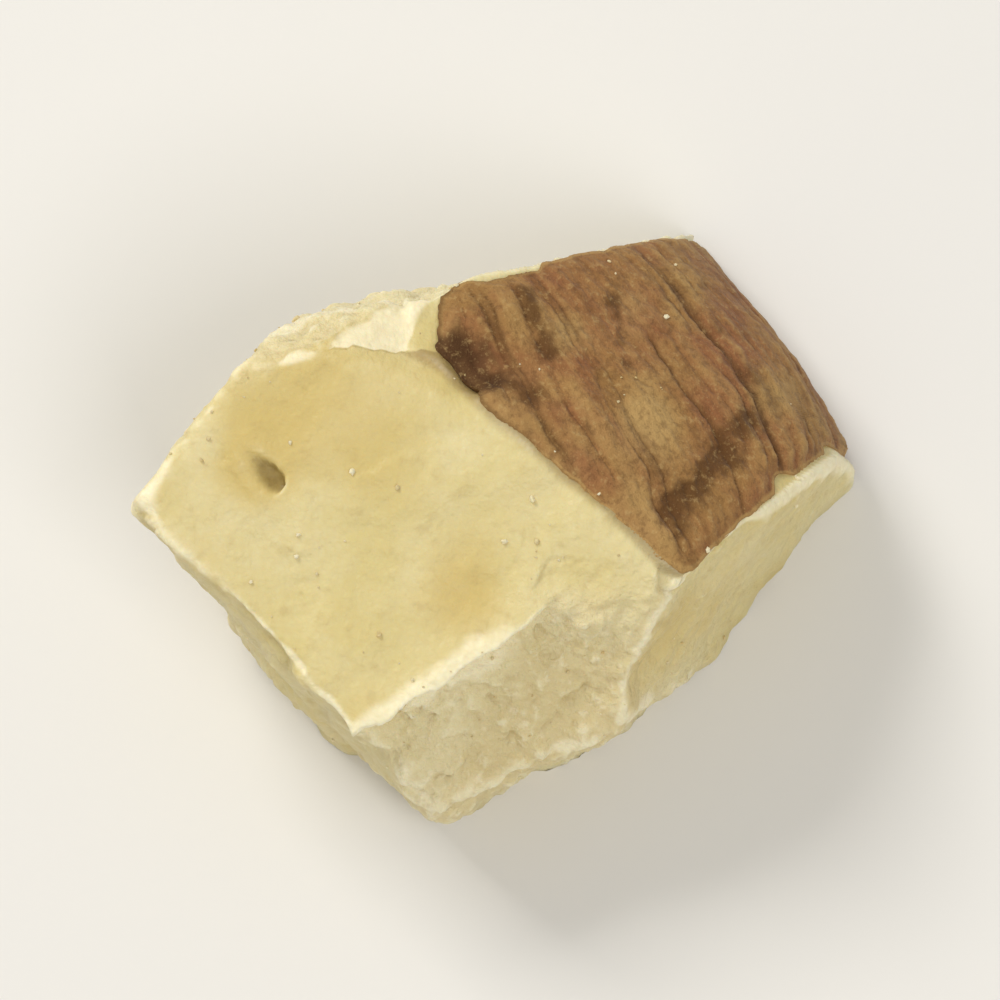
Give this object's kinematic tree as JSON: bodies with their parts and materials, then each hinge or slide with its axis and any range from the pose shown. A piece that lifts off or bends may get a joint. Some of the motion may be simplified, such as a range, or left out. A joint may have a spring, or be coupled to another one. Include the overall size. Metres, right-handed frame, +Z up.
{
  "type": "diced roasted almond piece",
  "caption": "Piece of a roasted almond kernel cut by a knife: pale flat cut faces, a stepped broken edge and a patch of ribbed brown seed coat.",
  "frame": {"origin": "on the face that the piece rests on, under the middle of its box", "axes": "+Z is up, away from the flat inner face of the seed leaf that the piece rests on; +X is along the longest side of the box, from the pale cut corner towards the seed coat's end; +Y is towards the side with the seed coat"},
  "size_m": [0.0078, 0.007, 0.0039],
  "materials": {
    "almond_flesh": "matte, dry and slightly oily, pale cream with golden toasted edges",
    "seed_coat": "matte brown papery skin with fine ribs"
  },
  "bodies": {
    "root": {"almond_piece": "almond_flesh"}
  },
  "joints": []
}
